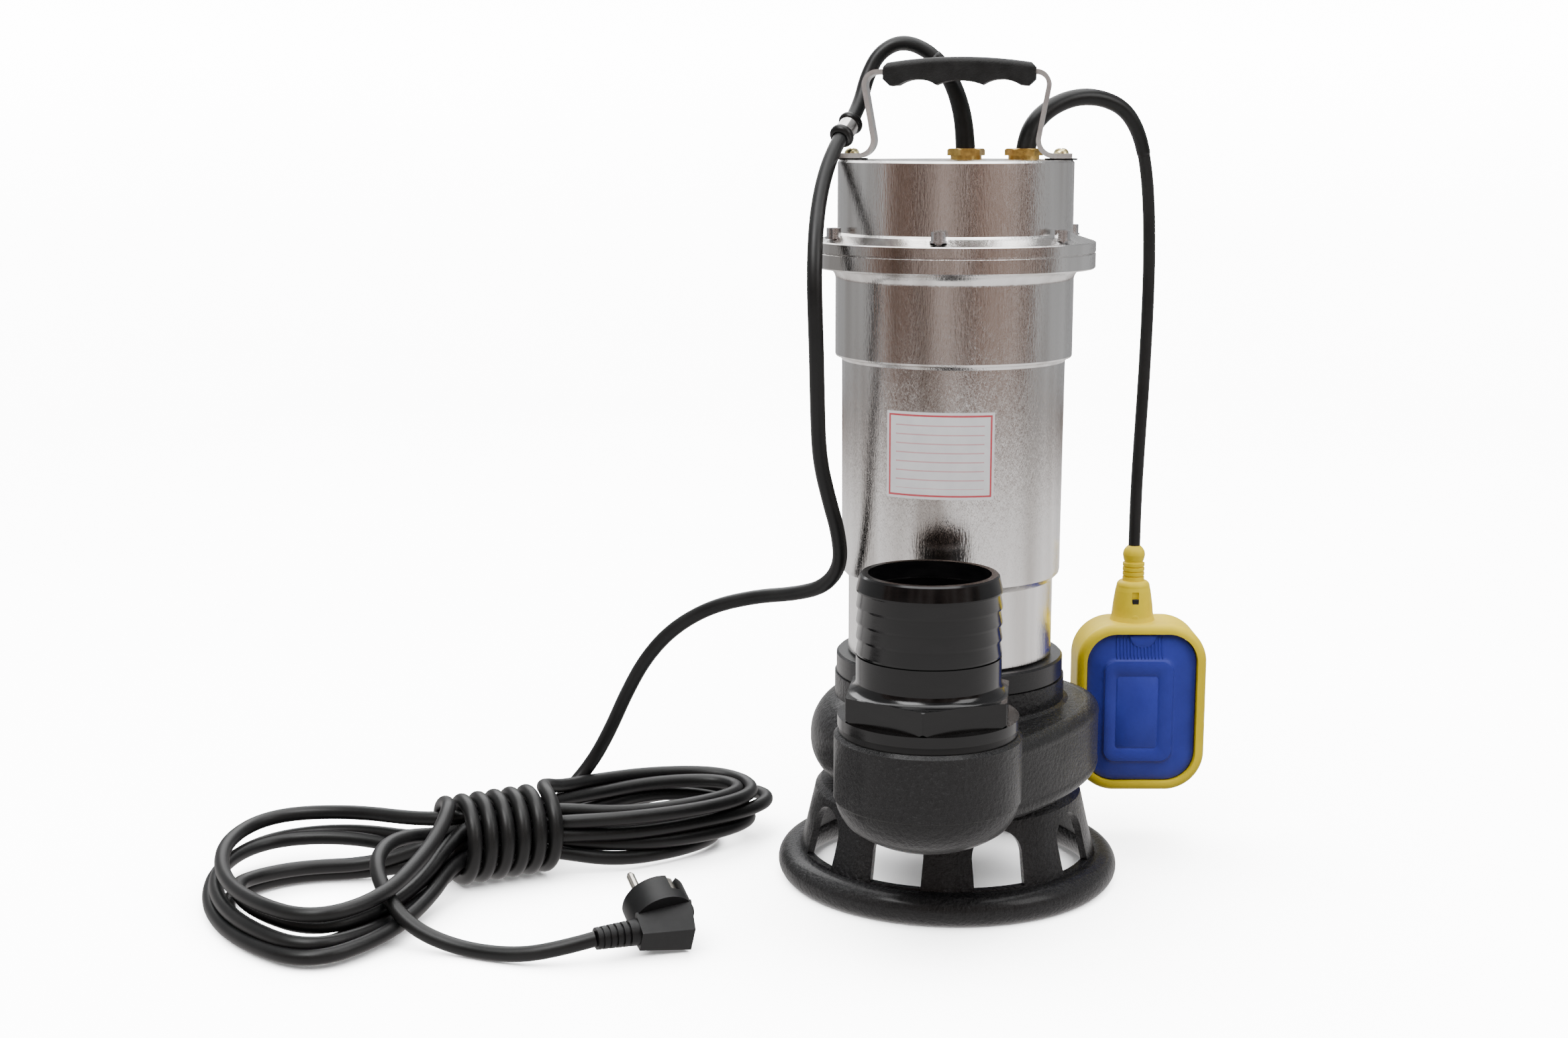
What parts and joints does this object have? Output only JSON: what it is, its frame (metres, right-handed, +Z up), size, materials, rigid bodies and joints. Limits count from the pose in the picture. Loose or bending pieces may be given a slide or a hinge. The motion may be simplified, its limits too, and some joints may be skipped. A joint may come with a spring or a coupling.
{
  "type": "submersible sump pump",
  "caption": "Upright stainless submersible sump pump on a cast strainer base, with hose-tail outlet, strap handle, tethered float switch and mains lead with plug.",
  "frame": {"origin": "on the pump's vertical axis, at the floor plane under the strainer base", "axes": "+Z up along the shaft, -Y towards the outlet, +X towards the float switch"},
  "size_m": [0.6125, 0.2748, 0.5069],
  "materials": {
    "cast_black": "rough black enamel over cast iron",
    "steel": "zinc-plated steel",
    "seal_rubber": "smooth black rubber",
    "gloss_black": "glossy moulded plastic",
    "black_disc": "machined and satin black enamel",
    "ceramic": "polished ceramic",
    "carbon": "lapped carbon",
    "lamination": "stacked steel sheet",
    "aluminium_ring": "cast",
    "copper_varnish": "varnished copper wire",
    "cast_grey": "as cast",
    "stainless": "turned and polished stainless steel",
    "strap_steel": "satin stainless strip",
    "grip_black": "fine-textured moulded plastic",
    "zinc_yellow": "yellow passivated zinc",
    "brass": "machined brass",
    "cord_black": "matt flexible PVC sheath",
    "chrome": "polished",
    "float_yellow": "satin moulded plastic",
    "float_blue": "satin moulded plastic",
    "white_plastic": "moulded plastic",
    "plug_black": "moulded rubbery plastic",
    "nickel": "nickel-plated brass",
    "label_white": "printed film"
  },
  "bodies": {
    "pump": {"strainer_base": "cast_black", "base_screws": "steel", "volute_casing": "cast_black", "casing_gasket": "seal_rubber", "casing_screws": "steel", "discharge_gasket": "seal_rubber", "hose_tail": "gloss_black", "pump_cover": "black_disc", "housing_screws": "steel", "seal_seat": "ceramic", "stator_core": "lamination", "stator_windings": "copper_varnish", "lower_bearing_outer": "steel", "lower_bearing_balls": "steel", "upper_bearing_outer": "steel", "upper_bearing_balls": "steel", "upper_bearing_housing": "cast_grey", "motor_housing": "stainless", "cover_oring": "seal_rubber", "top_cover": "stainless", "flange_screws": "steel", "flange_washers": "steel", "handle_strap": "strap_steel", "handle_grip": "grip_black", "handle_screws": "zinc_yellow", "handle_pads": "seal_rubber", "mains_gland": "brass", "float_gland": "brass", "mains_sleeve": "cord_black", "float_sleeve": "cord_black", "mains_cord": "cord_black", "mains_hank": "cord_black", "mains_tail": "cord_black", "collar_tube": "chrome", "collar_grommets": "seal_rubber", "float_cord": "cord_black", "plug_body": "plug_black", "plug_pins": "nickel", "plug_earth_clips": "nickel", "capacitor": "white_plastic", "capacitor_clamp": "steel", "terminal_block": "white_plastic", "label": "label_white"},
    "rotor": {"shaft": "steel", "rotor_core": "lamination", "rotor_end_rings": "aluminium_ring", "impeller": "cast_black", "impeller_nut": "steel", "impeller_key": "steel", "seal_face": "carbon", "seal_spring": "steel", "lower_bearing_inner": "steel", "upper_bearing_inner": "steel"},
    "float": {"float_shell": "float_yellow", "float_neck": "float_yellow", "float_front_cover": "float_blue", "float_back_cover": "float_blue", "float_ball_tube": "white_plastic", "float_microswitch": "white_plastic"},
    "switch_ball": {"float_ball": "steel"}
  },
  "joints": [
    {"name": "rotor_spin", "type": "hinge", "parent": "pump", "child": "rotor", "pos_m": [0, 0, 0.1], "axis": [0, 0, -1], "continuous": true},
    {"name": "float_swing", "type": "hinge", "parent": "pump", "child": "float", "pos_m": [0.1215, 0.065, 0.1868], "axis": [0, -1, 0], "range_deg": [0, 95]},
    {"name": "switch_ball_roll", "type": "slide", "parent": "float", "child": "switch_ball", "axis": [0, 0, 1], "range_m": [0, 0.024]}
  ]
}
